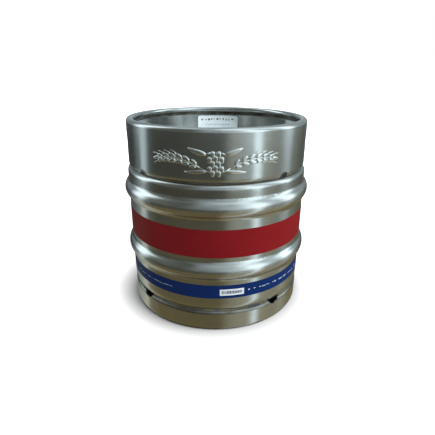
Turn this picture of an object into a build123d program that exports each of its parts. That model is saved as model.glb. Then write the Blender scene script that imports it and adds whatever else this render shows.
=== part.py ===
from build123d import *
from math import asin, cos, degrees, radians, sin, sqrt
import os

# Thirty-litre stainless steel beer keg with a push-open extractor valve in its neck.
# Millimetres, +Z up, origin at the centre of the circle that the foot rests on.
# The front of the keg looks along -Y. Headings are degrees round from the front, towards +X.

# --- Driving dimensions -------------------------------------------------------------------

keg_height = 400.0
hoop_radius = 197.5  # outside of the two rolling hoops, the widest part of the keg

# Pressure vessel: two deep-drawn halves, welded at the girth under the wide band
shell_radius = 188.8
shell_wall = 1.5
girth_z = 196.0
upper_hoop_z = 259.0
lower_hoop_z = 134.0
hoop_half_height = 21.0
hoop_base_bend = 9.0  # outside radius where a hoop leaves the straight wall
top_knuckle_bend = 10.0
top_knuckle_z = 294.0
bottom_knuckle_bend = 30.0
bottom_knuckle_z = 62.5
top_crown_z = 336.0
bottom_crown_z = 24.0
girth_gap = 2.0  # weld preparation between the halves
girth_crown = 0.2  # height of the ground-down weld above the wall

# Collar and foot: rolled sheet rings
ring_wall = 2.0
collar_radius = 185.8
foot_radius = 188.8
rim_outer_bend = 7.5
rim_roll_bend = 5.5  # half-round roll inside the rim
rim_flat = 1.6  # width of the flat on top of the rim
rim_hem = 1.6  # straight end of the roll, under the rim
collar_neck_z = 313.0
collar_neck_bend = 9.0
collar_neck_sweep = 78.0  # how far the collar's lower edge turns in on to the crown
foot_outer_bend = 7.0
foot_inner_bend = 5.0
foot_flat = 2.4
foot_hem_height = 14.0
foot_neck_z = 38.5
foot_neck_bend = 6.0
foot_neck_sweep = 100.0  # how far its upper edge turns in under the bottom knuckle

# Openings in the rings
hand_hole_length = 110.0
hand_hole_height = 32.0
hand_hole_z = 356.0
hand_hole_lip = 4.0  # how far the rolled lip stands in from the outside of the collar
drain_count = 4
collar_drain_heading = 42.5
collar_drain_radius = 11.0
collar_drain_top_z = 315.5
foot_drain_heading = 40.1
foot_drain_radius = 17.0
foot_drain_bottom_z = 36.5
foot_drain_lip = 1.0
foot_drain_lip_width = 2.2

# Welds
collar_weld_leg = 2.3  # of a fillet bead, along the vessel and along the ring
foot_weld_leg = 3.6
weld_crown = 0.4
weld_stop = 0.5  # how far short of a drain hole a bead ends
neck_weld_bead = 3.0

# Coloured bands and the label
wide_band = (164.0, 220.0)
narrow_band = (76.0, 104.5)
band_film = 0.5
label_width = 101.0
label_height = 50.0
label_top_z = 378.0
label_corner = 4.5
label_film = 0.5
label_offset = 3.2

# Neck boss and the extractor in it
neck_top_z = 368.0
neck_radius = 33.0
neck_bottom_z = 328.0
thread_radius = 25.4
recess_radius = 28.0
recess_depth = 9.0
clip_groove_depth = 1.2
clip_thickness = 1.8
clip_gap = 8.0
flange_thickness = 3.0
flange_play = 0.2
seal_section = 1.0  # half the thickness of the squeezed neck seal
socket_radius = 20.4  # bayonet lip that the dispense coupler locks under
socket_length = 3.5
well_radius = 22.0
lug_gap_width = 14.0
seat_radius = 13.5
seat_thickness = 3.0
skirt_depth = 3.0

# Moving valve parts
spear_travel = 6.0
ball_travel = 4.0
valve_gap = 0.15  # between parts that touch on the real valve but move apart
seal_ring_radius = 17.0
seal_ring_bore = 6.2
seal_ring_thickness = 5.0
cup_sheet = 1.2
cup_bore = 8.2
cup_flange = 1.5
cup_depth = 18.0
cup_rim_height = 2.5
cup_sleeve = 7.6
ball_radius = 7.5
tube_radius = 7.0
tube_wall = 0.8
tube_bottom_z = 36.0
tube_notch_width = 5.0
tube_notch_height = 6.0
guide_clearance = 0.06
cage_radius = well_radius
cage_wall = 1.2
cage_bottom_z = 303.0
cage_floor = 1.5
cage_window = (14.0, 22.0)
gas_coil_radius = 14.5
gas_wire = 1.1
gas_turns = 5
product_coil_radius = 6.9
product_wire = 0.4
product_turns = 5

# --- Worked out from those ----------------------------------------------------------------

hoop_rise = hoop_radius - shell_radius
hoop_bends = (hoop_half_height**2 + hoop_rise**2) / (2 * hoop_rise)
hoop_crest_bend = hoop_bends - hoop_base_bend
hoop_sweep = degrees(asin(hoop_half_height / hoop_bends))

recess_z = neck_top_z - recess_depth
flange_z = recess_z + 2 * seal_section
socket_top_z = flange_z + flange_thickness
socket_z = socket_top_z - socket_length
seat_top_z = 347.0
seat_z = seat_top_z - seat_thickness

seal_top_z = seat_z - valve_gap
seal_z = seal_top_z - seal_ring_thickness
cup_floor_z = seal_z - cup_depth
tube_top_z = cup_floor_z - cup_sheet
tube_bore = tube_radius - tube_wall
ball_z = seal_z - sqrt(ball_radius**2 - seal_ring_bore**2) - valve_gap
cage_floor_z = cage_bottom_z + cage_floor


def crown_bend(height, knuckle_bend):
    """Radius of the shallow crown that meets the knuckle smoothly at this height of dome."""
    reach = shell_radius - knuckle_bend
    return (reach**2 + height**2 - knuckle_bend**2) / (2 * (height - knuckle_bend))


def crown_sweep(height, knuckle_bend):
    """Degrees of the crown's arc, from the axis to the knuckle."""
    reach = shell_radius - knuckle_bend
    return degrees(asin(reach / (crown_bend(height, knuckle_bend) - knuckle_bend)))


def hoop_line(start):
    """One rolling hoop, drawn upwards from the wall at start: out, over the crest and back."""
    foot_bend = JernArc(start, (0, 1), hoop_base_bend, -hoop_sweep)
    crest = JernArc(foot_bend @ 1, foot_bend % 1, hoop_crest_bend, 2 * hoop_sweep)
    return JernArc(crest @ 1, crest % 1, hoop_base_bend, -hoop_sweep)


def at_heading(heading, z):
    """Upright plane through the axis, facing outwards at this heading, centred on height z."""
    outward = (sin(radians(heading)), -cos(radians(heading)), 0)
    sideways = (cos(radians(heading)), sin(radians(heading)), 0)
    return Plane(origin=(0, 0, z), x_dir=sideways, z_dir=outward)


def save(name, piece):
    piece.part.label = name
    export_step(piece.part, f"parts/{name}.step")


os.makedirs("parts", exist_ok=True)

# --- Pressure vessel ----------------------------------------------------------------------

top_rise = top_crown_z - top_knuckle_z
top_crown_bend = crown_bend(top_rise, top_knuckle_bend)
top_sweep = crown_sweep(top_rise, top_knuckle_bend)
neck_hole_sweep = degrees(asin((neck_radius - 1) / top_crown_bend))
bottom_rise = bottom_knuckle_z - bottom_crown_z
bottom_crown_bend = crown_bend(bottom_rise, bottom_knuckle_bend)
bottom_sweep = crown_sweep(bottom_rise, bottom_knuckle_bend)

with BuildPart() as upper_shell:
    with BuildSketch(Plane.XZ):
        with BuildLine():
            low_wall = Line(
                (shell_radius, girth_z + girth_gap / 2),
                (shell_radius, upper_hoop_z - hoop_half_height),
            )
            hoop = hoop_line(low_wall @ 1)
            high_wall = Line(hoop @ 1, (shell_radius, top_knuckle_z))
            knuckle = JernArc(high_wall @ 1, (0, 1), top_knuckle_bend, 90 - top_sweep)
            JernArc(knuckle @ 1, knuckle % 1, top_crown_bend, top_sweep - neck_hole_sweep)
            offset(amount=shell_wall, side=Side.LEFT)
        make_face()
    revolve(axis=Axis.Z)
    with BuildSketch(Plane.XY.offset(neck_bottom_z)):
        Circle(neck_radius)
    extrude(amount=neck_top_z - neck_bottom_z, mode=Mode.SUBTRACT)
save("upper_shell", upper_shell)

with BuildPart() as lower_shell:
    with BuildSketch(Plane.XZ):
        with BuildLine():
            crown = JernArc((0, bottom_crown_z), (1, 0), bottom_crown_bend, bottom_sweep)
            knuckle = JernArc(crown @ 1, crown % 1, bottom_knuckle_bend, 90 - bottom_sweep)
            low_wall = Line(knuckle @ 1, (shell_radius, lower_hoop_z - hoop_half_height))
            hoop = hoop_line(low_wall @ 1)
            Line(hoop @ 1, (shell_radius, girth_z - girth_gap / 2))
            offset(amount=shell_wall, side=Side.LEFT)
        make_face()
    revolve(axis=Axis.Z)
save("lower_shell", lower_shell)

# Weld in the girth gap, ground down until it barely stands above the wall
with BuildPart() as girth_weld:
    with BuildSketch(Plane.XZ):
        with BuildLine():
            Polyline(
                (shell_radius - shell_wall, girth_z - girth_gap / 2),
                (shell_radius, girth_z - girth_gap / 2),
                (shell_radius + girth_crown, girth_z - girth_gap / 4),
                (shell_radius + girth_crown, girth_z + girth_gap / 4),
                (shell_radius, girth_z + girth_gap / 2),
                (shell_radius - shell_wall, girth_z + girth_gap / 2),
                close=True,
            )
        make_face()
    revolve(axis=Axis.Z)
save("girth_weld", girth_weld)

# Solid plug with the outside of the vessel's domes, to trim what is welded on to them
with BuildPart() as vessel_plug:
    with BuildSketch(Plane.XZ):
        with BuildLine():
            crown = JernArc((0, bottom_crown_z), (1, 0), bottom_crown_bend, bottom_sweep)
            knuckle = JernArc(crown @ 1, crown % 1, bottom_knuckle_bend, 90 - bottom_sweep)
            wall = Line(knuckle @ 1, (shell_radius, top_knuckle_z))
            shoulder = JernArc(wall @ 1, (0, 1), top_knuckle_bend, 90 - top_sweep)
            top = JernArc(shoulder @ 1, shoulder % 1, top_crown_bend, top_sweep)
            Line(top @ 1, crown @ 0)
        make_face()
    revolve(axis=Axis.Z)

# --- Collar and foot ring -----------------------------------------------------------------


def lip_band(inside, outside, low, high):
    """Annulus that a hole's lip is cut out of, so that the lip follows the ring round."""
    with BuildPart(mode=Mode.PRIVATE) as band:
        with BuildSketch(Plane.XY.offset(low)):
            Circle(outside)
            Circle(inside, mode=Mode.SUBTRACT)
        extrude(amount=high - low)
    return band.part


# Lips of the two hand holes, which face left and right
hand_lip_radius = hand_hole_height / 2 + ring_wall
with BuildPart() as hand_lips:
    with BuildSketch(at_heading(90, hand_hole_z)):
        SlotOverall(hand_hole_length + 2 * ring_wall, 2 * hand_lip_radius)
        SlotOverall(hand_hole_length, hand_hole_height, mode=Mode.SUBTRACT)
    extrude(amount=hoop_radius, both=True)
    add(
        lip_band(
            collar_radius - hand_hole_lip,
            collar_radius - ring_wall / 2,
            hand_hole_z - hand_lip_radius,
            hand_hole_z + hand_lip_radius,
        ),
        mode=Mode.INTERSECT,
    )

# Collar: rolled rim with a hem inside, straight wall, bottom edge turned in on to the shoulder
rim_roll_radius = collar_radius - rim_outer_bend - rim_flat
collar_drain_z = collar_drain_top_z - collar_drain_radius

with BuildPart() as top_collar:
    with BuildSketch(Plane.XZ):
        with BuildLine():
            hem_end = Vector(rim_roll_radius, keg_height - 2 * rim_roll_bend)
            hem = Line(hem_end + Vector(rim_hem, 0), hem_end)
            roll_in = JernArc(hem @ 1, (-1, 0), rim_roll_bend, -180)
            rim_top = Line(roll_in @ 1, roll_in @ 1 + Vector(rim_flat, 0))
            roll_out = JernArc(rim_top @ 1, (1, 0), rim_outer_bend, -90)
            wall = Line(roll_out @ 1, (collar_radius, collar_neck_z))
            JernArc(wall @ 1, (0, -1), collar_neck_bend, -collar_neck_sweep)
            offset(amount=ring_wall, side=Side.RIGHT)
        make_face()
    revolve(axis=Axis.Z)
    add(vessel_plug.part, mode=Mode.SUBTRACT)
    with BuildSketch(at_heading(90, hand_hole_z)):
        SlotOverall(hand_hole_length, hand_hole_height)
    extrude(amount=hoop_radius, both=True, mode=Mode.SUBTRACT)
    add(hand_lips.part)
    for heading in (collar_drain_heading, collar_drain_heading + 90):
        with BuildSketch(at_heading(heading, collar_drain_z)):
            Circle(collar_drain_radius)
        extrude(amount=hoop_radius, both=True, mode=Mode.SUBTRACT)
save("top_collar", top_collar)

# Foot ring: hem, rolled foot, straight wall, top edge turned in under the bottom knuckle
foot_hem_radius = foot_radius - foot_outer_bend - foot_flat - foot_inner_bend
foot_drain_z = foot_drain_bottom_z + foot_drain_radius
foot_drain_headings = (foot_drain_heading, foot_drain_heading + 90)

# Pressed lips round the lower edge of the foot's drain holes
with BuildPart() as drain_lips:
    for heading in foot_drain_headings:
        with BuildSketch(at_heading(heading, foot_drain_z)):
            Circle(foot_drain_radius + foot_drain_lip_width)
        extrude(amount=hoop_radius, both=True)
    add(
        lip_band(
            foot_radius - ring_wall / 2,
            foot_radius + foot_drain_lip,
            foot_drain_bottom_z - foot_drain_lip_width,
            foot_neck_z,
        ),
        mode=Mode.INTERSECT,
    )

with BuildPart() as foot_ring:
    with BuildSketch(Plane.XZ):
        with BuildLine():
            hem = Line((foot_hem_radius, foot_hem_height), (foot_hem_radius, foot_inner_bend))
            roll_in = JernArc(hem @ 1, (0, -1), foot_inner_bend, 90)
            sole = Line(roll_in @ 1, roll_in @ 1 + Vector(foot_flat, 0))
            roll_out = JernArc(sole @ 1, (1, 0), foot_outer_bend, 90)
            wall = Line(roll_out @ 1, (foot_radius, foot_neck_z))
            JernArc(wall @ 1, (0, 1), foot_neck_bend, foot_neck_sweep)
            offset(amount=ring_wall, side=Side.LEFT)
        make_face()
    revolve(axis=Axis.Z)
    add(drain_lips.part)
    add(vessel_plug.part, mode=Mode.SUBTRACT)
    for heading in foot_drain_headings:
        with BuildSketch(at_heading(heading, foot_drain_z)):
            Circle(foot_drain_radius)
        extrude(amount=hoop_radius, both=True, mode=Mode.SUBTRACT)
save("foot_ring", foot_ring)


def circles_meet(centre_a, bend_a, centre_b, bend_b):
    """The crossing of two circles in the half-section that lies further from the axis."""
    gap = (centre_b - centre_a).length
    along = (gap**2 + bend_a**2 - bend_b**2) / (2 * gap)
    across = sqrt(bend_a**2 - along**2)
    way = (centre_b - centre_a) / gap
    foot = centre_a + way * along
    side = Vector(-way.Y, way.X) * across
    return max(foot + side, foot - side, key=lambda point: point.X)


def ring_weld(vessel_centre, vessel_bend, neck_centre, neck_bend, leg, up, drain):
    """Fillet bead in the groove between the vessel and a ring's turned-in edge.

    Up is 1 for a ring above the vessel and -1 for one below it. Drain is the height, radius and
    headings of the holes that interrupt the bead.
    """
    root = circles_meet(vessel_centre, vessel_bend, neck_centre, neck_bend)
    vessel_turn = -degrees(leg / vessel_bend) * up
    neck_turn = degrees(leg / neck_bend) * up
    on_vessel = vessel_centre + (root - vessel_centre).rotate(Axis.Z, vessel_turn)
    on_neck = neck_centre + (root - neck_centre).rotate(Axis.Z, neck_turn)
    crown = (on_vessel + on_neck) / 2 + Vector(weld_crown, 0)
    drain_z, drain_radius, headings = drain
    with BuildPart(mode=Mode.PRIVATE) as weld:
        with BuildSketch(Plane.XZ):
            with BuildLine():
                RadiusArc(root, on_vessel, vessel_bend * up)
                RadiusArc(root, on_neck, -neck_bend * up)
                ThreePointArc(on_vessel, crown, on_neck)
            make_face()
        revolve(axis=Axis.Z)
        for heading in headings:
            with BuildSketch(at_heading(heading, drain_z)):
                Circle(drain_radius + weld_stop)
            extrude(amount=hoop_radius, both=True, mode=Mode.SUBTRACT)
    return weld


collar_weld = ring_weld(
    Vector(0, top_crown_z - top_crown_bend),
    top_crown_bend,
    Vector(collar_radius - collar_neck_bend, collar_neck_z),
    collar_neck_bend,
    collar_weld_leg,
    1,
    (collar_drain_z, collar_drain_radius, (collar_drain_heading, collar_drain_heading + 90)),
)
save("collar_weld", collar_weld)

foot_weld = ring_weld(
    Vector(shell_radius - bottom_knuckle_bend, bottom_knuckle_z),
    bottom_knuckle_bend,
    Vector(foot_radius - foot_neck_bend, foot_neck_z),
    foot_neck_bend,
    foot_weld_leg,
    -1,
    (foot_drain_z, foot_drain_radius, foot_drain_headings),
)
save("foot_weld", foot_weld)

# --- Coloured bands and label -------------------------------------------------------------


def band_round_shell(limits):
    """Thin film wrapped round the straight wall of the vessel."""
    low, high = limits
    with BuildPart(mode=Mode.PRIVATE) as band:
        with BuildSketch(Plane.XZ):
            with Locations((shell_radius + band_film / 2, (low + high) / 2)):
                Rectangle(band_film, high - low)
        revolve(axis=Axis.Z)
        add(girth_weld.part, mode=Mode.SUBTRACT)
    return band


save("wide_band", band_round_shell(wide_band))
save("narrow_band", band_round_shell(narrow_band))

# Filling-record label on the inside of the collar, at the back
label_middle = Plane(
    origin=(label_offset, 0, label_top_z - label_height / 2), x_dir=(1, 0, 0), z_dir=(0, 1, 0)
)
with BuildPart() as inner_label:
    add(
        lip_band(
            collar_radius - ring_wall - label_film,
            collar_radius - ring_wall,
            label_top_z - label_height,
            label_top_z,
        )
    )
    with BuildSketch(label_middle):
        RectangleRounded(label_width, label_height, label_corner)
    extrude(amount=hoop_radius, mode=Mode.INTERSECT)
save("inner_label", inner_label)

# --- Neck and extractor body --------------------------------------------------------------


def turned(points):
    """Part turned on a lathe about +Z: points run round its half-section as (radius, z)."""
    with BuildPart(mode=Mode.PRIVATE) as blank:
        with BuildSketch(Plane.XZ):
            with BuildLine():
                Polyline(*points, close=True)
            make_face()
        revolve(axis=Axis.Z)
    return blank.part


with BuildPart() as neck_boss:
    add(
        turned(
            (
                (thread_radius, neck_bottom_z),
                (neck_radius, neck_bottom_z),
                (neck_radius, neck_top_z - 1.5),
                (neck_radius - 1.5, neck_top_z),
                (recess_radius, neck_top_z),
                (recess_radius, socket_top_z + clip_thickness),
                (recess_radius + clip_groove_depth, socket_top_z + clip_thickness),
                (recess_radius + clip_groove_depth, socket_top_z),
                (recess_radius, socket_top_z),
                (recess_radius, recess_z),
                (thread_radius, recess_z),
            )
        )
    )
save("neck_boss", neck_boss)

with BuildPart() as neck_weld:
    with BuildSketch(Plane.XZ):
        with Locations((neck_radius + 0.6, top_crown_z - 0.4)):
            Circle(neck_weld_bead)
    revolve(axis=Axis.Z)
    add(vessel_plug.part, mode=Mode.SUBTRACT)
    add(neck_boss.part, mode=Mode.SUBTRACT)
    with BuildSketch(Plane.XY.offset(neck_bottom_z)):
        Circle(neck_radius)
    extrude(amount=neck_top_z - neck_bottom_z, mode=Mode.SUBTRACT)
save("neck_weld", neck_weld)

with BuildPart() as neck_seal:
    with BuildSketch(Plane.XZ):
        with Locations((recess_radius - seal_section, recess_z + seal_section)):
            Circle(seal_section)
    revolve(axis=Axis.Z)
save("neck_seal", neck_seal)

# Extractor body: flange, threaded barrel, bayonet well, valve seat and a skirt for the cage
with BuildPart() as extractor_body:
    add(
        turned(
            (
                (socket_radius, socket_top_z),
                (recess_radius - flange_play, socket_top_z),
                (recess_radius - flange_play, flange_z),
                (thread_radius, flange_z),
                (thread_radius, seat_z - skirt_depth),
                (well_radius, seat_z - skirt_depth),
                (well_radius, seat_z),
                (seat_radius, seat_z),
                (seat_radius, seat_z + seat_thickness / 2),
                (seat_radius + seat_thickness / 2, seat_top_z),
                (well_radius, seat_top_z),
                (well_radius, socket_z),
                (socket_radius, socket_z),
            )
        )
    )
    with BuildSketch(Plane.XY.offset(socket_z)):
        Rectangle(2 * well_radius, lug_gap_width)
        Circle(well_radius, mode=Mode.INTERSECT)
    extrude(amount=socket_length, mode=Mode.SUBTRACT)
save("extractor_body", extractor_body)

# Split ring that keeps the extractor from being blown out of the neck
with BuildPart() as retaining_ring:
    with BuildSketch(Plane.XY.offset(socket_top_z)):
        Circle(recess_radius + clip_groove_depth)
        Circle(recess_radius - clip_groove_depth, mode=Mode.SUBTRACT)
        with Locations((0, recess_radius)):
            Rectangle(clip_gap, 4 * clip_groove_depth, mode=Mode.SUBTRACT)
    extrude(amount=clip_thickness)
save("retaining_ring", retaining_ring)

# Cage that holds the gas spring: open windows let the gas in, the floor guides the spear
with BuildPart() as spring_cage:
    add(
        turned(
            (
                (tube_radius + guide_clearance, cage_bottom_z),
                (cage_radius, cage_bottom_z),
                (cage_radius, seat_z),
                (cage_radius - cage_wall, seat_z),
                (cage_radius - cage_wall, cage_floor_z),
                (tube_radius + guide_clearance, cage_floor_z),
            )
        )
    )
    for heading in (0, 90):
        with BuildSketch(at_heading(heading, (cage_floor_z + seat_z - skirt_depth) / 2)):
            RectangleRounded(*cage_window, cage_window[0] / 4)
        extrude(amount=cage_radius, both=True, mode=Mode.SUBTRACT)
save("spring_cage", spring_cage)


def coil_spring(radius, wire, low, high, turns):
    """Round-wire spring standing between two faces at heights low and high."""
    length = high - low - 2 * wire
    with BuildPart(mode=Mode.PRIVATE) as spring:
        with BuildLine():
            coil = Helix(length / turns, length, radius, center=(0, 0, low + wire))
        with BuildSketch(Plane(origin=coil @ 0, z_dir=coil % 0)):
            Circle(wire)
        sweep(is_frenet=True)
    return spring


gas_spring = coil_spring(
    gas_coil_radius,
    gas_wire,
    cage_floor_z + valve_gap,
    seal_z - cup_flange - valve_gap,
    gas_turns,
)
save("gas_spring", gas_spring)

# --- Spear: seal ring, cup and tube, pushed down together by the coupler -------------------

with BuildPart() as gas_valve_ring:
    add(
        turned(
            (
                (seal_ring_bore, seal_z),
                (seal_ring_radius, seal_z),
                (seal_ring_radius, seal_top_z),
                (seal_ring_bore + 1, seal_top_z),
                (seal_ring_bore, seal_top_z - 1),
            )
        )
    )
save("gas_valve_ring", gas_valve_ring)

with BuildPart() as valve_cup:
    add(
        turned(
            (
                (cup_bore, seal_z),
                (seal_ring_radius, seal_z),
                (seal_ring_radius, seal_z + cup_rim_height),
                (seal_ring_radius + cup_sheet, seal_z + cup_rim_height),
                (seal_ring_radius + cup_sheet, seal_z - cup_flange),
                (cup_bore + cup_sheet, seal_z - cup_flange),
                (cup_bore + cup_sheet, tube_top_z),
                (tube_radius + cup_sheet, tube_top_z),
                (tube_radius + cup_sheet, tube_top_z - cup_sleeve),
                (tube_radius, tube_top_z - cup_sleeve),
                (tube_radius, tube_top_z),
                (tube_bore, tube_top_z),
                (tube_bore, cup_floor_z),
                (cup_bore, cup_floor_z),
            )
        )
    )
save("valve_cup", valve_cup)

with BuildPart() as spear_tube:
    with BuildSketch(Plane.XY.offset(tube_bottom_z)):
        Circle(tube_radius)
        Circle(tube_bore, mode=Mode.SUBTRACT)
    extrude(amount=tube_top_z - tube_bottom_z)
    with BuildSketch(Plane.XY.offset(tube_bottom_z)):
        Rectangle(3 * tube_radius, tube_notch_width)
        Rectangle(tube_notch_width, 3 * tube_radius)
    extrude(amount=tube_notch_height, mode=Mode.SUBTRACT)
save("spear_tube", spear_tube)

# Product valve: a steel ball held up against the seal ring's bore by a small spring
with BuildPart() as product_ball:
    with Locations((0, 0, ball_z)):
        Sphere(ball_radius)
save("product_ball", product_ball)

product_reach = ball_radius + product_wire + valve_gap
product_top_z = ball_z - sqrt(product_reach**2 - product_coil_radius**2) + product_wire
product_spring = coil_spring(
    product_coil_radius,
    product_wire,
    cup_floor_z + valve_gap,
    product_top_z,
    product_turns,
)
save("product_spring", product_spring)

# --- Fill ---------------------------------------------------------------------------------

shell_metal = upper_shell.part.volume + lower_shell.part.volume + girth_weld.part.volume
litres = (vessel_plug.part.volume - shell_metal) / 1e6
print(f"vessel holds about {litres:.1f} litres and its hoops")
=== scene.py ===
import math
import random

import bpy
from mathutils import Matrix, Vector


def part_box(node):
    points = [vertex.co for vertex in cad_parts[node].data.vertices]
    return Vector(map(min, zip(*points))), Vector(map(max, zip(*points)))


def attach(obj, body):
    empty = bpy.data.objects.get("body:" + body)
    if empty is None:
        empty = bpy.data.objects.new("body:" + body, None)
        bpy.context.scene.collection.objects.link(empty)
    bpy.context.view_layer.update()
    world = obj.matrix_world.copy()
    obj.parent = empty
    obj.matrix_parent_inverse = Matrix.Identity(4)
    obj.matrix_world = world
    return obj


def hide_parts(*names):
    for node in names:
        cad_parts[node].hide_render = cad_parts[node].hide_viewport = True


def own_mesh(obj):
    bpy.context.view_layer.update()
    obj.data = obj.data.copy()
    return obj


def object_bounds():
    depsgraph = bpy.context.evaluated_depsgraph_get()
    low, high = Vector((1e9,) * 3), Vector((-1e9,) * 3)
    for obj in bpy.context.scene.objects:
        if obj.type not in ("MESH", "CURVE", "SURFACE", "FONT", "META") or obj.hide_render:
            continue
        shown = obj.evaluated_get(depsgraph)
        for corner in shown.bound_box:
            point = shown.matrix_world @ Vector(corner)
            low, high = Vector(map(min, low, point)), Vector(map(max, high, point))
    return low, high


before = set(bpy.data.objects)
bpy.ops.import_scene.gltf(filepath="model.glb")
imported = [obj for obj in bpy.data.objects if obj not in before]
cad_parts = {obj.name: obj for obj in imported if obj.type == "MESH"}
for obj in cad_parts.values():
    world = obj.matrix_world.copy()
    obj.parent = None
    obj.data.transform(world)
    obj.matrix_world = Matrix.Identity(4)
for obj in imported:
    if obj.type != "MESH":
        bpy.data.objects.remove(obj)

cad_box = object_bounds()
MM = 0.001

# --- Places read from the frame -----------------------------------------------------------

collar_low, collar_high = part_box("top_collar")
label_low, label_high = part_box("inner_label")
red_low, red_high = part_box("wide_band")
blue_low, blue_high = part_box("narrow_band")
collar_weld_low, collar_weld_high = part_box("collar_weld")
foot_weld_low, foot_weld_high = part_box("foot_weld")
keg_height = cad_box[1].z
hoop_crest_z = 0.259  # the upper rolling hoop's crest, which no box gives
collar_radius = collar_high.x
hoop_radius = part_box("upper_shell")[1].x
band_radius = blue_high.x
foot_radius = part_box("foot_ring")[1].x

# --- Material building blocks ---------------------------------------------------------------


class Shader:
    """A material whose nodes are added by short calls and end in one Principled BSDF."""

    def __init__(self, name):
        self.material = bpy.data.materials.new(name)
        self.material.use_nodes = True
        self.tree = self.material.node_tree
        self.surface = self.tree.nodes["Principled BSDF"]
        self.place = self.add("ShaderNodeTexCoord").outputs["Object"]
        split = self.add("ShaderNodeSeparateXYZ")
        self.link(self.place, split.inputs[0])
        self.x, self.y, self.z = split.outputs

    def add(self, kind, **settings):
        node = self.tree.nodes.new(kind)
        for name, value in settings.items():
            setattr(node, name, value)
        return node

    def link(self, source, target):
        self.tree.links.new(source, target)

    def feed(self, node, **values):
        """Sets or links a node's inputs, named as in Blender with _ for a space."""
        for name, value in values.items():
            self.put(value, node.inputs[name.replace("_", " ")])
        return node

    def put(self, value, socket):
        if isinstance(value, bpy.types.NodeSocket):
            self.link(value, socket)
        else:
            socket.default_value = value

    def math(self, operation, *values):
        node = self.add("ShaderNodeMath", operation=operation)
        for socket, value in zip(node.inputs, values):
            self.put(value, socket)
        return node.outputs[0]

    def noise(self, where, scale, detail=3.0, roughness=0.5):
        node = self.add("ShaderNodeTexNoise")
        self.feed(node, Vector=where, Scale=scale, Detail=detail, Roughness=roughness)
        return node.outputs["Fac"]

    def spread(self, value, low, high, from_low=0.0, from_high=1.0):
        node = self.add("ShaderNodeMapRange")
        self.feed(node, Value=value, From_Min=from_low, From_Max=from_high, To_Min=low, To_Max=high)
        return node.outputs["Result"]

    def ramp(self, value, *stops):
        """Colour ramp through (position, colour) stops."""
        node = self.add("ShaderNodeValToRGB")
        elements = node.color_ramp.elements
        while len(elements) < len(stops):
            elements.new(1.0)
        for element, (position, colour) in zip(elements, stops):
            element.position = position
            element.color = (*colour, 1.0)
        self.link(value, node.inputs["Fac"])
        return node.outputs["Color"]

    def blend(self, share, first, second):
        """Colour between two colours, or sockets, by share."""
        node = self.add("ShaderNodeMix", data_type="RGBA")
        self.put(share, node.inputs["Factor"])
        colours = [socket for socket in node.inputs if socket.type == "RGBA"]
        for socket, value in zip(colours, (first, second)):
            self.put(value, socket)
        return [socket for socket in node.outputs if socket.type == "RGBA"][0]

    def shade(self, colour, amount):
        """Colour made darker or lighter by amount, a number or a socket."""
        node = self.add("ShaderNodeVectorMath", operation="SCALE")
        self.put(colour, node.inputs[0])
        self.put(amount, node.inputs["Scale"])
        return node.outputs[0]

    def radius(self):
        """Distance from the keg's axis."""
        across = self.math("MULTIPLY", self.x, self.x)
        along = self.math("MULTIPLY", self.y, self.y)
        return self.math("SQRT", self.math("ADD", across, along))

    def around(self, turns, rise):
        """Coordinates that run round the keg's axis and up it, for marks left by turning."""
        angle = self.math("ARCTAN2", self.y, self.x)
        joined = self.add("ShaderNodeCombineXYZ")
        self.link(self.math("MULTIPLY", angle, turns), joined.inputs[0])
        self.link(self.math("MULTIPLY", self.z, rise), joined.inputs[1])
        self.link(self.math("MULTIPLY", self.radius(), rise), joined.inputs[2])
        return joined.outputs[0]

    def bump(self, height, strength, distance, normal=None):
        """Normal bent by a height, on top of an earlier normal if there is one."""
        node = self.add("ShaderNodeBump")
        self.feed(node, Height=height, Strength=strength, Distance=distance)
        if normal is not None:
            self.link(normal, node.inputs["Normal"])
        return node.outputs["Normal"]

    def brush_round(self):
        """Lays the grain of brushed metal round the keg's axis."""
        tangent = self.add("ShaderNodeTangent", direction_type="RADIAL", axis="Z")
        self.link(tangent.outputs[0], self.surface.inputs["Tangent"])

    def finish(self, colour, roughness, normal=None, **uniform):
        """Connects the surface, with any further sockets set to one value."""
        self.put(colour, self.surface.inputs["Base Color"])
        self.put(roughness, self.surface.inputs["Roughness"])
        if normal is not None:
            self.link(normal, self.surface.inputs["Normal"])
        self.feed(self.surface, **uniform)
        return self.material


# --- Finishes ---------------------------------------------------------------------------------

SCUFF_TINT = (0.66, 0.665, 0.66, 1)
# Dark brown that painted shade in creases and under the rim is blended towards, with some real grime
SHADE_AND_DIRT_TINT = (0.085, 0.072, 0.05, 1)
GRAIN_DEPTH = 0.2 * MM
QUARTER_TURN = 0.25  # of the highlights' stretch, so that it lies across the grain


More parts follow.
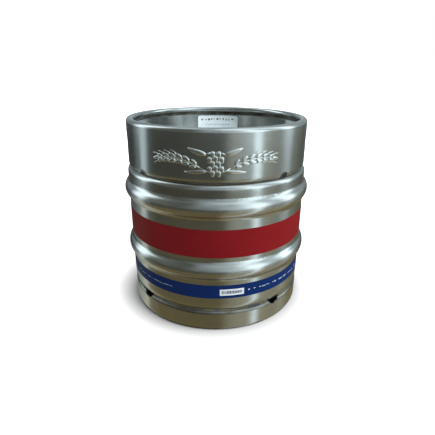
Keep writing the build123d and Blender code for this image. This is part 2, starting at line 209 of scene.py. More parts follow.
def satin_steel(name, tint, rough, wave_depth, worn=None, shade_and_grime=None):
    """Stainless sheet brushed round the axis, scuffed where worn says, and darkened towards dark brown
    by painted shade with some grime where the last mask says.
    """
    steel = Shader(name)
    lines = steel.noise(steel.around(3.0, 700.0), 1.0, detail=3.0, roughness=0.6)
    clouds = steel.noise(steel.place, 9.0, detail=4.0)
    stains = steel.noise(steel.around(5.0, 30.0), 1.0, detail=5.0, roughness=0.65)
    waves = steel.noise(steel.around(1.6, 14.0), 1.0, detail=2.0)
    nicks = steel.noise(steel.around(14.0, 420.0), 1.0, detail=2.0, roughness=0.7)
    shade = steel.math("MULTIPLY", steel.spread(clouds, 0.92, 1.06), steel.spread(lines, 0.96, 1.04))
    shade = steel.math("MULTIPLY", shade, steel.spread(stains, 1.03, 0.9, 0.45, 0.75))
    rubbed = steel.spread(nicks, 0.0, 1.0, 0.56, 0.66)
    colour = steel.shade(tint, shade)
    fine = steel.spread(lines, rough - 0.02, rough + 0.02)
    roughness = steel.math("ADD", steel.spread(clouds, -0.03, 0.03), fine)
    if worn is not None:
        scuffed = steel.math("MULTIPLY", worn(steel), steel.spread(nicks, 0.1, 0.7, 0.35, 0.7))
        colour = steel.blend(scuffed, colour, SCUFF_TINT)
        roughness = steel.math("ADD", roughness, steel.math("MULTIPLY", scuffed, 0.1))
    # Painted shade with some grime: darkens and dulls the steel where the mask says
    if shade_and_grime is not None:
        shade_and_dirt = steel.math("MULTIPLY", shade_and_grime(steel), steel.spread(stains, 0.6, 1.0, 0.3, 0.6))
        colour = steel.blend(shade_and_dirt, colour, SHADE_AND_DIRT_TINT)
        roughness = steel.math("ADD", roughness, steel.math("MULTIPLY", shade_and_dirt, 0.25))
    normal = steel.bump(waves, 0.5, wave_depth)
    normal = steel.bump(lines, 0.08, GRAIN_DEPTH, normal)
    normal = steel.bump(rubbed, 0.05, GRAIN_DEPTH, normal)
    steel.brush_round()
    stretch = {"Anisotropic": 0.55, "Anisotropic_Rotation": QUARTER_TURN}
    return steel.finish(colour, roughness, normal, Metallic=1.0, **stretch)


def hoop_wear(steel):
    """1 on the crests of the rolling hoops, which scrape the ground."""
    return steel.spread(steel.radius(), 0.0, 1.0, hoop_radius - 1.4 * MM, hoop_radius - 0.3 * MM)


def end_wear(steel):
    """1 on the top of the rim and on the foot's lowest edge, where kegs are stacked."""
    top = steel.spread(steel.z, 0.0, 1.0, keg_height - 3 * MM, keg_height - 0.6 * MM)
    foot = steel.spread(steel.z, 1.0, 0.0, 0.5 * MM, 5 * MM)
    return steel.math("MAXIMUM", top, foot)


def near(steel, height, full, none):
    """1 within full of this height, falling to 0 at none from it."""
    gap = steel.math("ABSOLUTE", steel.math("SUBTRACT", steel.z, height))
    return steel.spread(gap, 1.0, 0.0, full, none)


def groove_shade_and_grime(steel):
    """Painted shade with some brown grime on the vessel where the rings are welded to it, and painted
    shade a little above the upper hoop.
    """
    # Painted shade along the two weld grooves
    upper = near(steel, (collar_weld_low.z + collar_weld_high.z) / 2, 1.5 * MM, 4 * MM)
    lower = near(steel, foot_weld_high.z, 1 * MM, 4 * MM)
    # Painted shade in the recess between the upper hoop and the collar
    recess = near(steel, (collar_weld_low.z + hoop_crest_z) / 2 + 4 * MM, 3 * MM, 9 * MM)
    welds = steel.math("MULTIPLY", steel.math("MAXIMUM", upper, lower), 0.6)
    return steel.math("MAXIMUM", welds, steel.math("MULTIPLY", recess, 0.3))


def ring_shade_and_grime(steel):
    """Painted shade with some grime on the rings: along their welds, on the foot's turned-in edge,
    where it dulls the highlight, and a painted shadow inside under the rim.
    """
    upper = near(steel, collar_low.z, 0.5 * MM, 3 * MM)
    lower = near(steel, foot_weld_low.z + 1 * MM, 1 * MM, 3 * MM)
    # Painted shade that dulls the highlight on the foot's turned-in edge
    edge = near(steel, foot_weld_low.z - 2 * MM, 2.5 * MM, 5 * MM)
    lower = steel.math("MAXIMUM", lower, steel.math("MULTIPLY", edge, 0.72))
    # Painted shadow on the collar's inside wall under the rolled rim
    under_rim = near(steel, keg_height - 15 * MM, 3.5 * MM, 6 * MM)
    inside = steel.spread(steel.radius(), 1.0, 0.0, collar_radius - 1.6 * MM, collar_radius - 1.0 * MM)
    pocket = steel.math("MULTIPLY", under_rim, inside)
    return steel.math("MAXIMUM", steel.math("MAXIMUM", upper, lower), pocket)


def weld_metal():
    """Bead of weld with crescent ripples and a straw and blue heat tint."""
    bead = Shader("weld_steel")
    patches = bead.noise(bead.around(9.0, 60.0), 1.0, detail=4.0)
    tint = bead.ramp(
        patches,
        (0.30, (0.20, 0.18, 0.14)),
        (0.48, (0.28, 0.23, 0.15)),
        (0.60, (0.17, 0.17, 0.17)),
        (0.75, (0.12, 0.13, 0.17)),
    )
    ripple = bead.add("ShaderNodeTexWave", wave_type="BANDS", bands_direction="X")
    bead.feed(ripple, Vector=bead.around(188.0, 500.0), Scale=1.0, Distortion=1.5, Detail=1.0)
    normal = bead.bump(ripple.outputs["Fac"], 0.4, 0.0003)
    return bead.finish(tint, bead.spread(patches, 0.32, 0.5), normal, Metallic=1.0)


def machined_steel(name, tint, rough, turning):
    """Turned fitting with fine tool rings round the axis."""
    metal = Shader(name)
    rings = metal.noise(metal.around(0.6, turning), 1.0, detail=2.0)
    clouds = metal.noise(metal.place, 60.0, detail=4.0)
    shade = metal.math("MULTIPLY", metal.spread(rings, 0.93, 1.05), metal.spread(clouds, 0.88, 1.06))
    turned = metal.spread(rings, rough - 0.04, rough + 0.05)
    roughness = metal.math("ADD", metal.spread(clouds, -0.05, 0.07), turned)
    normal = metal.bump(rings, 0.12, GRAIN_DEPTH / 2)
    metal.brush_round()
    stretch = {"Anisotropic": 0.4, "Anisotropic_Rotation": QUARTER_TURN}
    return metal.finish(metal.shade(tint, shade), roughness, normal, Metallic=1.0, **stretch)


def rubber():
    """Black food-grade rubber with a faint bloom."""
    skin = Shader("black_rubber")
    bloom = skin.noise(skin.place, 160.0, detail=5.0, roughness=0.6)
    grain = skin.noise(skin.place, 1800.0, detail=2.0)
    colour = skin.ramp(bloom, (0.35, (0.012, 0.012, 0.013)), (0.7, (0.035, 0.034, 0.032)))
    normal = skin.bump(grain, 0.25, 0.00008)
    return skin.finish(colour, skin.spread(bloom, 0.48, 0.72), normal, Specular_IOR_Level=0.4)


def film(name, colour, rough, scratch_tint):
    """Coloured plastic film stuck round the vessel: faint ripples, rubbed patches and scratches."""
    skin = Shader(name)
    clouds = skin.noise(skin.place, 14.0, detail=5.0)
    scratches = skin.noise(skin.around(6.0, 900.0), 1.0, detail=2.0, roughness=0.7)
    waves = skin.noise(skin.around(4.0, 26.0), 1.0, detail=2.0)
    scratched = skin.spread(scratches, 0.0, 0.12, 0.62, 0.7)
    patchy = skin.shade(colour, skin.spread(clouds, 0.82, 1.16))
    rubbed = skin.blend(scratched, patchy, (*scratch_tint, 1))
    normal = skin.bump(waves, 0.4, 0.0006)
    normal = skin.bump(scratches, 0.05, 0.0001, normal)
    roughness = skin.spread(clouds, rough - 0.06, rough + 0.08)
    return skin.finish(rubbed, roughness, normal, Specular_IOR_Level=0.06)


def paper_film():
    """Pale blue-white label film, a little stained in patches."""
    skin = Shader("label_film")
    clouds = skin.noise(skin.place, 40.0, detail=5.0, roughness=0.6)
    stained, plain, pale = (0.66, 0.80, 0.86), (0.78, 0.92, 0.97), (0.84, 0.95, 0.98)
    colour = skin.ramp(clouds, (0.3, stained), (0.5, plain), (0.75, pale))
    normal = skin.bump(clouds, 0.2, 0.0002)
    return skin.finish(colour, skin.spread(clouds, 0.4, 0.6), normal, Specular_IOR_Level=0.4)


def ink(name, colour):
    """Printed mark, uneven as thermal print is."""
    skin = Shader(name)
    clouds = skin.noise(skin.place, 220.0, detail=4.0)
    shade = skin.shade(colour, skin.spread(clouds, 0.8, 1.2))
    return skin.finish(shade, skin.spread(clouds, 0.42, 0.6), Specular_IOR_Level=0.35)


def paint(node, material):
    """Gives every slot of a CAD node this material."""
    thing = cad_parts[node]
    for slot in thing.material_slots:
        slot.link = "OBJECT"
        slot.material = material


STEEL_TINT = (0.56, 0.565, 0.555)
shell_steel = satin_steel("shell_steel", STEEL_TINT, 0.205, 0.0014, worn=hoop_wear, shade_and_grime=groove_shade_and_grime)
ring_steel = satin_steel("ring_steel", STEEL_TINT, 0.20, 0.0007, worn=end_wear, shade_and_grime=ring_shade_and_grime)
# Lighter tint than the other steel: painted highlight, so that the pressed ornament reads brighter
highlit_relief_steel = satin_steel("highlit_relief_steel", (0.80, 0.81, 0.80), 0.22, 0.0007)
weld_steel = weld_metal()
fitting_steel = machined_steel("fitting_steel", (0.60, 0.60, 0.59), 0.24, 1600.0)
spring_steel = machined_steel("spring_steel", (0.44, 0.44, 0.45), 0.30, 2600.0)
ball_steel = machined_steel("ball_steel", (0.66, 0.66, 0.66), 0.12, 300.0)
black_rubber = rubber()
red_film = film("red_film", (0.112, 0.0028, 0.0045), 0.42, (0.17, 0.03, 0.03))
blue_film = film("blue_film", (0.0010, 0.012, 0.066), 0.36, (0.03, 0.07, 0.18))
label_film = paper_film()
white_ink = ink("white_ink", (0.44, 0.49, 0.52))
grey_ink = ink("grey_ink", (0.36, 0.42, 0.49))
navy_ink = ink("navy_ink", (0.012, 0.02, 0.05))
black_ink = ink("black_ink", (0.09, 0.10, 0.115))

FITTINGS = ["neck_boss", "extractor_body", "spring_cage", "valve_cup", "spear_tube"]
FINISHES = [
    (shell_steel, ["upper_shell", "lower_shell"]),
    (ring_steel, ["top_collar", "foot_ring"]),
    (weld_steel, ["collar_weld", "foot_weld", "girth_weld", "neck_weld"]),
    (fitting_steel, FITTINGS),
    (spring_steel, ["retaining_ring", "gas_spring", "product_spring"]),
    (ball_steel, ["product_ball"]),
    (black_rubber, ["neck_seal", "gas_valve_ring"]),
    (red_film, ["wide_band"]),
    (blue_film, ["narrow_band"]),
    (label_film, ["inner_label"]),
]
for finish_material, nodes in FINISHES:
    for node in nodes:
        paint(node, finish_material)

# --- Mesh building blocks -----------------------------------------------------------------------


class Solid:
    """Corners and faces of one piece, gathered from closed parts."""

    def __init__(self):
        self.corners = []
        self.faces = []

    def rings(self, rings):
        """Closed skin over rings of equally many points, with a fan at each end."""
        start = len(self.corners)
        count = len(rings[0])
        for ring in rings:
            self.corners.extend(ring)
        for row in range(len(rings) - 1):
            here = start + row * count
            there = here + count
            for k in range(count):
                after = (k + 1) % count
                self.faces.append((here + k, here + after, there + after, there + k))
        self.cap(rings[0], start, backwards=True)
        self.cap(rings[-1], start + (len(rings) - 1) * count, backwards=False)

    def cap(self, ring, first, backwards):
        """Fan of triangles over one end ring, whose corners start at first."""
        middle = len(self.corners)
        count = len(ring)
        self.corners.append(tuple(sum(point[axis] for point in ring) / count for axis in range(3)))
        for k in range(count):
            pair = (first + k, first + (k + 1) % count)
            if backwards:
                pair = pair[::-1]
            self.faces.append((*pair, middle))

    def piece(self, name, body, material, sharp=None):
        """Object of these parts that rides on a body; sharp is the angle over which edges stay hard."""
        mesh = bpy.data.meshes.new(name)
        mesh.from_pydata(self.corners, [], self.faces)
        mesh.shade_smooth()
        if sharp is not None:
            mesh.set_sharp_from_angle(angle=math.radians(sharp))
        mesh.materials.append(material)
        made = bpy.data.objects.new(name, mesh)
        bpy.context.scene.collection.objects.link(made)
        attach(made, body)
        return made


def on_round(radius, along, height):
    """Point on a cylinder round the axis: along is the arc from the front, more towards +X."""
    heading = along / radius
    return (radius * math.sin(heading), -radius * math.cos(heading), height)


# --- Pressed ornament on the front of the collar --------------------------------------------------

RELIEF_HEIGHT = 2.4 * MM
RELIEF_ROOT = 0.5 * MM
# Section of a pressed shape: how large its outline is, at each share of its height.
PILLOW = [(1.12, 0.02), (1.03, 0.22), (0.98, 0.6), (0.86, 0.87), (0.64, 0.98), (0.34, 1.0)]
ORNAMENT_SHIFT = -1.5 * MM  # it sits a little left of the middle


def pressed(solid, outline, middle, height=RELIEF_HEIGHT):
    """Pillow raised from the collar over an outline of (along, rise) points, rooted in the sheet."""

    def ring(scale, radius):
        points = []
        for along, rise in outline:
            s = middle[0] + (along - middle[0]) * scale
            z = middle[1] + (rise - middle[1]) * scale
            points.append(on_round(radius, s * radius / collar_radius, z))
        return points

    levels = [ring(PILLOW[0][0], collar_radius - RELIEF_ROOT)]
    levels += [ring(scale, collar_radius + share * height) for scale, share in PILLOW]
    solid.rings(levels)


def petal(length, width, bend=0.0, blunt=0.0):
    """Outline of a grain or leaf from its root at 0 along +x, widest before its middle."""
    points = 20
    outline = []
    for k in range(points):
        turn = 2 * math.pi * k / points
        x = 0.5 * (1 - math.cos(turn))
        fullness = abs(math.sin(turn)) ** (1.0 - 0.45 * blunt) * (1.15 - 0.45 * x)
        side = 1 if turn < math.pi else -1
        y = -side * 0.5 * width * fullness + bend * x * x
        outline.append((x * length, y))
    return outline


def placed(outline, root, angle):
    """Outline turned by an angle and moved so that its 0 is at the root."""
    cos, sin = math.cos(angle), math.sin(angle)
    return [(root[0] + x * cos - y * sin, root[1] + x * sin + y * cos) for x, y in outline]


def middle_of(outline):
    return (sum(p[0] for p in outline) / len(outline), sum(p[1] for p in outline) / len(outline))


def press_petal(solid, root, angle, length, width, height=RELIEF_HEIGHT, bend=0.0, blunt=0.0):
    """One grain, leaf or scale pressed from its root in the direction of angle."""
    outline = placed(petal(length, width, bend, blunt), root, angle)
    pressed(solid, outline, middle_of(outline), height)


def stem(solid, path, thick):
    """Round stalk along (along, rise) points, half sunk in the collar and thinner at its end."""
    sides = 10
    rings = []
    for k, spot in enumerate(path):
        before, after = path[max(k - 1, 0)], path[min(k + 1, len(path) - 1)]
        way = Vector(after) - Vector(before)
        across = Vector((-way.y, way.x)).normalized()
        swell = thick * (1.0 - 0.45 * k / (len(path) - 1))
        ring = []
        for side in range(sides):
            turn = 2 * math.pi * side / sides
            aside = Vector(spot) + across * (swell * math.cos(turn))
            ring.append(on_round(collar_radius + swell * math.sin(turn), aside.x, aside.y))
        rings.append(ring)
    solid.rings(rings)


def barley_ear(solid, start, end, arch):
    """Ear of barley: two rows of grains on an arched stalk, with a beard of awns."""
    pairs = 6
    stalk_steps = 14
    grain_length, grain_width = 15 * MM, 7.4 * MM
    chord = Vector((end[0] - start[0], end[1] - start[1]))
    lean = math.atan2(chord.y, chord.x)
    across = Vector((-chord.y, chord.x)).normalized()

    def on_arch(share):
        return Vector(start) + chord * share + across * (arch * 4 * share * (1 - share))

    stem(solid, [on_arch(k / stalk_steps) for k in range(stalk_steps + 1)], 1.5 * MM)
    for k in range(pairs):
        share = (k + 0.5) / pairs
        slope = math.atan(arch * (1 - 2 * share) * 4 / chord.length)
        spot = on_arch(share)
        swell = 1.0 - 0.3 * abs(2 * share - 0.8)
        for row in (1, -1):
            turned = lean + slope + row * math.radians(27)
            foot = spot + across * row * 1.8 * MM
            long, wide = grain_length * swell, grain_width * swell
            press_petal(solid, foot, turned, long, wide, bend=-row * 0.9 * MM)
            if k >= 2:
                tip = foot + Vector((math.cos(turned), math.sin(turned))) * long
                flare = turned - row * math.radians(10)
                press_petal(solid, tip, flare, 11 * MM, 1.7 * MM, 1.3 * MM, bend=-row * 0.8 * MM)
    press_petal(solid, end, lean - math.atan(arch * 4 / chord.length), 13 * MM, 6.4 * MM)


def hop_cone(solid, top, rows):
    """Hop cone: rows of so many blunt scales each, which hang down and spread to the sides."""
    across, drop = 9.4 * MM, 8.2 * MM
    spread = 22  # radians of lean for each metre from the middle
    for row, count in enumerate(rows):
        for k in range(count):
            offset = (k - (count - 1) / 2) * across
            root = (top[0] + offset, top[1] - row * drop - abs(offset) * 0.22)
            lean = -math.pi / 2 + offset * spread
            press_petal(solid, root, lean, 11 * MM, 8.6 * MM, blunt=1.0)


def collar_ornament():
    """Generic relief: a hop cone between two leaves and two ears of barley, joined by stalks."""
    solid = Solid()
    mid = (collar_low.z + collar_high.z) / 2 - 9 * MM
    hop_cone(solid, (ORNAMENT_SHIFT, mid + 20 * MM), [2, 3, 2, 3, 2])
    for side in (1, -1):
        foot = (side * 7 * MM + ORNAMENT_SHIFT, mid - 17 * MM)
        start = (side * 27 * MM + ORNAMENT_SHIFT, mid - 9 * MM)
        end = (side * 104 * MM + ORNAMENT_SHIFT, mid + 3 * MM)
        elbow = (side * 17 * MM + ORNAMENT_SHIFT, mid - 15 * MM)
        stem(solid, [foot, elbow, start], 1.8 * MM)
        barley_ear(solid, start, end, side * 7 * MM)
        shoulder = (side * 8 * MM + ORNAMENT_SHIFT, mid + 17 * MM)
        leaf_root = (side * 17 * MM + ORNAMENT_SHIFT, mid + 14 * MM)
        stem(solid, [shoulder, leaf_root], 1.6 * MM)
        leaf_lean = math.radians(10 if side > 0 else 170)
        press_petal(solid, leaf_root, leaf_lean, 30 * MM, 9 * MM, 1.7 * MM, bend=side * 4 * MM)
        under_lean = math.radians(-9 if side > 0 else 189)
        press_petal(solid, elbow, under_lean, 36 * MM, 7.5 * MM, 1.7 * MM, bend=side * 3 * MM)
    solid.piece("collar_ornament", "keg_body", highlit_relief_steel)


collar_ornament()

# --- Printed marks on the blue band and the label ---------------------------------------------------

INK_DEPTH = 0.05 * MM
LAP_WIDTH = 16 * MM
LAP_DEPTH = 0.22 * MM


def curved_plate(solid, radius, along, rise, width, height, depth=INK_DEPTH):
    """Closed plate that follows the cylinder round its middle at (along, rise)."""
    columns = max(2, int(width / (3 * MM)))
    low, high = rise - height / 2, rise + height / 2
    section = ((depth, low), (depth, high), (-depth, high), (-depth, low))
    loops = []
    for k in range(columns + 1):
        s = along - width / 2 + width * k / columns
        loops.append([on_round(radius + lift, s, z) for lift, z in section])
    solid.rings(loops)


def band_print():
    """Generic print round the blue band: one pale box with bars in it, and short pale dashes."""
    height = (blue_low.z + blue_high.z) / 2
    tall = blue_high.z - blue_low.z
    surface = band_radius
    dice = random.Random(11)
    pale = Solid()
    box_middle = math.radians(9.6) * surface
    box_width = math.radians(14.5) * surface
    box_height = height - 1.0 * MM
    curved_plate(pale, surface, box_middle, box_height, box_width, 0.48 * tall)
    pale.piece("band_print_pale", "keg_body", white_ink, sharp=30)
    dashes = Solid()
    # Two rows, each from one heading to another in degrees, with its thickest dash in millimetres.
    for first, last, thickest in ((19.5, 75, 2.3), (-60, -27, 1.4)):
        heading = first
        while heading < last:
            length = dice.uniform(0.4, 2.0)
            lift = dice.uniform(-0.8, 0.8) * MM
            thick = dice.uniform(0.5, 1.0) * thickest * MM
            middle = math.radians(heading + length / 2) * surface
            curved_plate(dashes, surface, middle, height + lift, math.radians(length) * surface, thick)
            heading += length + dice.choice((0.4, 0.6, 0.9, 2.6))
    dashes.piece("band_print_dashes", "keg_body", grey_ink, sharp=30)
    dark = Solid()
    bars = 13
    step = box_width / (bars + 2)
    for k in range(bars):
        middle = box_middle - box_width / 2 + (k + 1.5) * step
        bar = dice.uniform(0.45, 0.8) * step
        bar_height = dice.uniform(0.16, 0.26) * tall
        curved_plate(dark, surface + 0.04 * MM, middle, box_height, bar, bar_height)
    dark.piece("band_print_dark", "keg_body", navy_ink, sharp=30)


def label_marks():
    """Row of dark ticks on the label, which faces the keg's axis, and two thin lines under it."""
    dark = Solid()
    dice = random.Random(5)
    face = label_high.y - 0.5 * MM
    middle = (label_low.x + label_high.x) / 2
    width = label_high.x - label_low.x
    reach = -0.42 * width
    while reach < 0.40 * width:
        tick = dice.uniform(0.02, 0.055) * width
        along = math.pi * face - (middle + reach + tick / 2)
        drop = dice.uniform(8.5, 10.5) * MM
        curved_plate(dark, face, along, label_high.z - drop, tick, dice.uniform(2.0, 4.6) * MM)
        reach += tick + dice.uniform(0.02, 0.05) * width
    for drop, share in ((22, 0.62), (31, 0.70)):
        line_height = label_high.z - drop * MM
        curved_plate(dark, face, math.pi * face - middle, line_height, width * share, 0.7 * MM)
    dark.piece("label_marks", "keg_body", black_ink, sharp=30)


def film_laps():
    """Where each film's two ends overlap, at the back: a second thickness with a straight edge."""
    for name, low, high, slot, material in (
        ("wide_band_lap", red_low, red_high, "red_film", red_film),
        ("narrow_band_lap", blue_low, blue_high, "blue_film", blue_film),
    ):
        lap = Solid()
        middle, tall = (low.z + high.z) / 2, high.z - low.z - 0.4 * MM
        curved_plate(lap, high.x, math.pi * high.x, middle, LAP_WIDTH, tall, LAP_DEPTH)
        lap.piece(name, "keg_body", material, sharp=30)


band_print()
label_marks()
film_laps()

# --- Springs ------------------------------------------------------------------------------------


def coil(name, node, body, wire, turns):
    """Compression spring of this wire radius in the CAD spring's place, ground flat at both ends."""
    low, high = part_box(node)
    coil_radius = high.x - wire
    sides = 14
    steps_per_turn = 40
    closed = 0.9  # turns that lie flat at each end
    total = turns + 2 * closed
    free = high.z - low.z
    seat = 0.55 * wire  # height of the wire's middle where it starts
    climb = 1.155 * wire  # rise of a closed end for each turn
    inner = seat + climb * closed
    rings = []
    for k in range(int(total * steps_per_turn) + 1):
        turn = k / steps_per_turn
        if turn < closed:
            rise = seat + climb * turn
        elif turn > total - closed:
            rise = free - seat - climb * (total - turn)
        else:
            rise = inner + (free - 2 * inner) * (turn - closed) / turns
        angle = 2 * math.pi * turn
        out = Vector((math.cos(angle), math.sin(angle), 0))
        middle = out * coil_radius + Vector((0, 0, low.z + rise))
        ring = []
        for side in range(sides):
            way = 2 * math.pi * side / sides
            point = middle + out * (wire * math.cos(way)) + Vector((0, 0, wire * math.sin(way)))
            ring.append((point.x, point.y, min(max(point.z, low.z), high.z)))
        rings.append(ring)
    wound = Solid()
    wound.rings(rings)
    made = wound.piece(name, body, spring_steel, sharp=50)
    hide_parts(node)
    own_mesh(made)


coil("gas_spring_coil", "gas_spring", "keg_body", 1.1 * MM, 4.6)
coil("product_spring_coil", "product_spring", "spear", 0.4 * MM, 3.6)

# --- The room: floor, reflections, light and camera ---------------------------------------------

CAMERA_PLACE = (0.0, -0.7982, 0.4911)
PITCH, TURN, ROLL = 0.383, -0.004, 0.006  # radians: down, to the side and about its own line of sight
camera_data = bpy.data.cameras.new("camera")
camera_data.sensor_width = 36.0
camera_data.lens = 30.72
camera_data.dof.use_dof = False
camera = bpy.data.objects.new("camera", camera_data)
bpy.context.scene.collection.objects.link(camera)
camera.matrix_world = (
    Matrix.Translation(CAMERA_PLACE)
    @ Matrix.Rotation(TURN, 4, "Z")
    @ Matrix.Rotation(math.pi / 2 - PITCH, 4, "X")
    @ Matrix.Rotation(ROLL, 4, "Z")
)
bpy.context.scene.camera = camera
bpy.context.scene.view_settings.view_transform = "Standard"

world = bpy.data.worlds.new("studio")
world.use_nodes = True
sky = world.node_tree.nodes["Background"]
sky.inputs["Color"].default_value = (1.0, 1.0, 1.0, 1)
sky.inputs["Strength"].default_value = 0.16
bpy.context.scene.world = world


def hide_from_all_but(thing, camera_sees=False, glossy_sees=False):
    """Stage piece that lights nothing: only the camera or only the steel sees it."""
    thing.visible_camera = camera_sees
    thing.visible_glossy = glossy_sees
    thing.visible_diffuse = False
    thing.visible_transmission = False
    thing.visible_volume_scatter = False
    thing.visible_shadow = False


def round_mesh(name, rings, sides=96):
    """Stage surface turned about the keg's axis through (radius, height) rings."""
    mesh = bpy.data.meshes.new(name)
    corners = []
    for radius, height in rings:
        for k in range(sides):
            angle = 2 * math.pi * k / sides
            corners.append((radius * math.cos(angle), radius * math.sin(angle), height))
    faces = []
    for ring in range(len(rings) - 1):
        for k in range(sides):
            here, there = ring * sides, (ring + 1) * sides
            after = (k + 1) % sides
            faces.append((here + k, here + after, there + after, there + k))
    mesh.from_pydata(corners, [], faces)
    mesh.shade_smooth()
    thing = bpy.data.objects.new(name, mesh)
    bpy.context.scene.collection.objects.link(thing)
    return thing


def plain_light(name, strength=1.0):
    """Black surface that only glows; its glow's colour is set by the caller."""
    glow = Shader(name)
    glow.finish((0, 0, 0, 1), 1.0, Specular_IOR_Level=0.0, Emission_Strength=strength)
    glow.material.cycles.emission_sampling = "NONE"
    return glow


def pale_floor():
    """Pale floor that glows, with no glow under the keg and more away from it: painted light that thins
    the shadow round the keg and lifts the floor to white.
    """
    floor = round_mesh("floor", [(0.001, 0.0), (0.3, 0.0), (1.0, 0.0), (3.0, 0.0), (9.0, 0.0)])
    floor.visible_glossy = False
    glowing_floor = Shader("glowing_floor_paint")
    # Painted light: the floor's glow grows from nothing at the foot's edge outwards
    near_glow = glowing_floor.spread(glowing_floor.radius(), 0.0, 0.9, foot_radius, 0.25)
    far_glow = glowing_floor.spread(glowing_floor.radius(), 0.0, 0.7, 0.5, 1.5)
    glow = glowing_floor.math("ADD", near_glow, far_glow)
    glowing_floor.link(glow, glowing_floor.surface.inputs["Emission Strength"])
    glowing_floor.finish((0.5, 0.5, 0.5, 1), 0.9, Emission_Color=(1, 1, 1, 1))
    floor.data.materials.append(glowing_floor.material)


def white_backdrop():
    """White dome round the floor that only the camera sees."""
    backdrop = round_mesh("backdrop", [(9.0, -0.3), (9.0, 3.0), (7.0, 6.5), (4.0, 8.5), (0.001, 9.0)])
    hide_from_all_but(backdrop, camera_sees=True)
    white = plain_light("backdrop_white")
    white.surface.inputs["Emission Color"].default_value = (1, 1, 1, 1)
    backdrop.data.materials.append(white.material)


LAMP_DISTANCE = 2.2


def softbox(name, heading, tilt, size, power):
    """Square area light aimed at the middle of the keg from this heading and height angle."""
    data = bpy.data.lights.new(name, "AREA")
    data.shape = "SQUARE"
    data.size = size
    data.energy = power
    lamp = bpy.data.objects.new(name, data)
    way_round, rise = math.radians(heading), math.radians(tilt)
    level = math.cos(rise)
    way = Vector((math.sin(way_round) * level, -math.cos(way_round) * level, math.sin(rise)))
    lamp.location = way * LAMP_DISTANCE + Vector((0, 0, keg_height / 2))
    lamp.rotation_mode = "QUATERNION"
    lamp.rotation_quaternion = way.to_track_quat("Z", "Y")
    lamp.visible_camera = False
    lamp.visible_glossy = False
    bpy.context.scene.collection.objects.link(lamp)


WINDOW = (0.84, 1.0, 1.05)
WALL = (0.92, 1.0, 0.87)
EARTH = (1.07, 1.0, 0.66)
GROUND = (1.2, 1.0, 0.48)
BEHIND_LEFT, BEHIND_RIGHT = -179, 179

# The room that the steel mirrors, in rows from low to high. A row holds headings in degrees,
# 0 in front and 90 to the right, each with its brightness and tint.
GROUND_ROW = [
    (BEHIND_LEFT, 0.20, GROUND),
    (-140, 0.35, WALL),
    (-112, 0.50, WALL),
    (-101, 0.62, EARTH),
    (-93, 0.25, EARTH),
    (-75, 0.15, GROUND),
    (5, 0.14, GROUND),
    (20, 0.30, EARTH),
    (49, 0.36, EARTH),
    (54, 1.20, WINDOW),
    (58, 1.20, WINDOW),
    (62, 0.36, EARTH),
    (95, 0.28, EARTH),
    (104, 0.38, EARTH),
    (125, 0.20, GROUND),
    (BEHIND_RIGHT, 0.20, GROUND),
]
LOW_ROW = [
    (BEHIND_LEFT, 0.30, WALL),
    (-150, 0.06, WALL),
    (-128, 0.04, WINDOW),
    (-110, 0.20, WINDOW),
    (-104, 0.74, WINDOW),
    (-98, 0.80, WINDOW),
    (-92, 0.12, WINDOW),
    (-80, 0.06, WALL),
    (10, 0.075, WALL),
    (19, 0.36, WALL),
    (44, 0.50, WINDOW),
    (49, 1.60, WINDOW),
    (54, 1.50, WINDOW),
    (59, 0.36, WALL),
    (85, 0.26, WALL),
    (97, 0.62, WINDOW),
    (103, 0.62, WINDOW),
    (108, 0.26, WALL),
    (140, 0.10, WALL),
    (BEHIND_RIGHT, 0.30, WALL),
]
HIGH_ROW = [
    (BEHIND_LEFT, 0.50, WINDOW),
    (-145, 0.25, WINDOW),
    (-122, 0.28, WINDOW),
    (-110, 1.95, WINDOW),
    (-98, 1.70, WINDOW),
    (-88, 0.20, WALL),
    (-45, 0.13, WALL),
    (-30, 0.20, WALL),
    (0, 0.38, WINDOW),
    (30, 0.95, WINDOW),
    (44, 2.0, WINDOW),
    (59, 2.0, WINDOW),
    (68, 0.85, WINDOW),
    (82, 0.72, WINDOW),
    (95, 2.50, WINDOW),
    (103, 2.10, WINDOW),
    (112, 0.50, WINDOW),
    (140, 0.35, WINDOW),
    (BEHIND_RIGHT, 0.50, WINDOW),
]
CEILING_ROW = [
    (BEHIND_LEFT, 0.40, WINDOW),
    (-140, 0.30, WINDOW),
    (-124, 0.30, WINDOW),
    (-113, 2.10, WINDOW),
    (-98, 2.30, WINDOW),
    (-82, 0.18, WALL),
    (-35, 0.11, WALL),
    (-20, 0.40, WINDOW),
    (25, 0.62, WINDOW),
    (43, 1.60, WINDOW),
    (58, 1.40, WINDOW),
    (68, 0.65, WINDOW),
    (80, 0.80, WINDOW),
    (90, 1.90, WINDOW),
    (101, 1.60, WINDOW),
    (114, 0.65, WINDOW),
    (140, 0.45, WINDOW),
    (BEHIND_RIGHT, 0.40, WINDOW),
]
ZENITH_ROW = [
    (BEHIND_LEFT, 0.55, WINDOW),
    (-112, 0.95, WINDOW),
    (-88, 0.80, WINDOW),
    (-66, 0.22, WINDOW),
    (-25, 0.45, WINDOW),
    (5, 0.95, WINDOW),
    (50, 1.55, WINDOW),
    (95, 1.40, WINDOW),
    (BEHIND_RIGHT, 0.55, WINDOW),
]


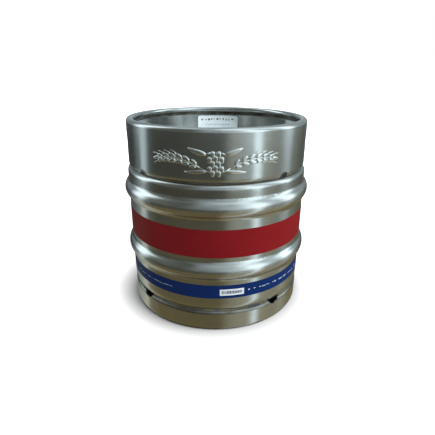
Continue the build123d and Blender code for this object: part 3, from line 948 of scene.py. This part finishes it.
# Between these heights, as shares of the sphere's radius, each row gives way to the next.
ROW_STEPS = ((-0.6, -0.25), (-0.13, 0.05), (0.3, 0.65), (0.76, 0.9))


def mirrored_room(radius=20.0):
    """Sphere that only the steel sees, painted by heading and height as the room round the keg."""
    tilts = [math.radians(tilt) for tilt in range(-85, 90, 5)]
    rings = [(radius * math.cos(tilt), radius * math.sin(tilt)) for tilt in tilts]
    room = round_mesh("room_in_reflections", [(0.001, -radius), *rings, (0.001, radius)])
    hide_from_all_but(room, glossy_sees=True)
    glow = plain_light("room_glow")
    heading = glow.math("ARCTAN2", glow.x, glow.math("MULTIPLY", glow.y, -1.0))
    share = glow.math("MULTIPLY_ADD", heading, 0.5 / math.pi, 0.5)
    height = glow.math("DIVIDE", glow.z, radius)
    below = glow.spread(height, 1.0, 0.0, -0.62, -0.17)
    left = glow.math("MAXIMUM", glow.math("SUBTRACT", 0.5, share), 0.0)
    slant = glow.math("MULTIPLY", glow.math("MULTIPLY", left, below), 0.15)
    slanted = glow.math("ADD", share, slant)
    rows = []
    for stops in (GROUND_ROW, LOW_ROW, HIGH_ROW, CEILING_ROW, ZENITH_ROW):
        tinted = [(0.5 + at / 360, [level * part for part in tint]) for at, level, tint in stops]
        rows.append(glow.ramp(slanted, *tinted))
    colour = rows[0]
    for row, (start, end) in zip(rows[1:], ROW_STEPS):
        colour = glow.blend(glow.spread(height, 0.0, 1.0, start, end), colour, row)
    glow.link(colour, glow.surface.inputs["Emission Color"])
    room.data.materials.append(glow.material)


def shade_under_keg():
    """Black disc under the keg, so that nothing bright is mirrored from beneath it."""
    disc = round_mesh("shade_in_reflections", [(0.001, -0.001), (0.1, -0.001), (foot_radius, -0.001)])
    hide_from_all_but(disc, glossy_sees=True)
    disc.data.materials.append(plain_light("shade_black", 0.0).material)


pale_floor()
white_backdrop()
softbox("key_softbox", heading=66, tilt=34, size=2.0, power=92)
softbox("front_softbox", heading=12, tilt=68, size=1.0, power=18)
softbox("top_softbox", heading=-150, tilt=75, size=1.2, power=18)
mirrored_room()
shade_under_keg()
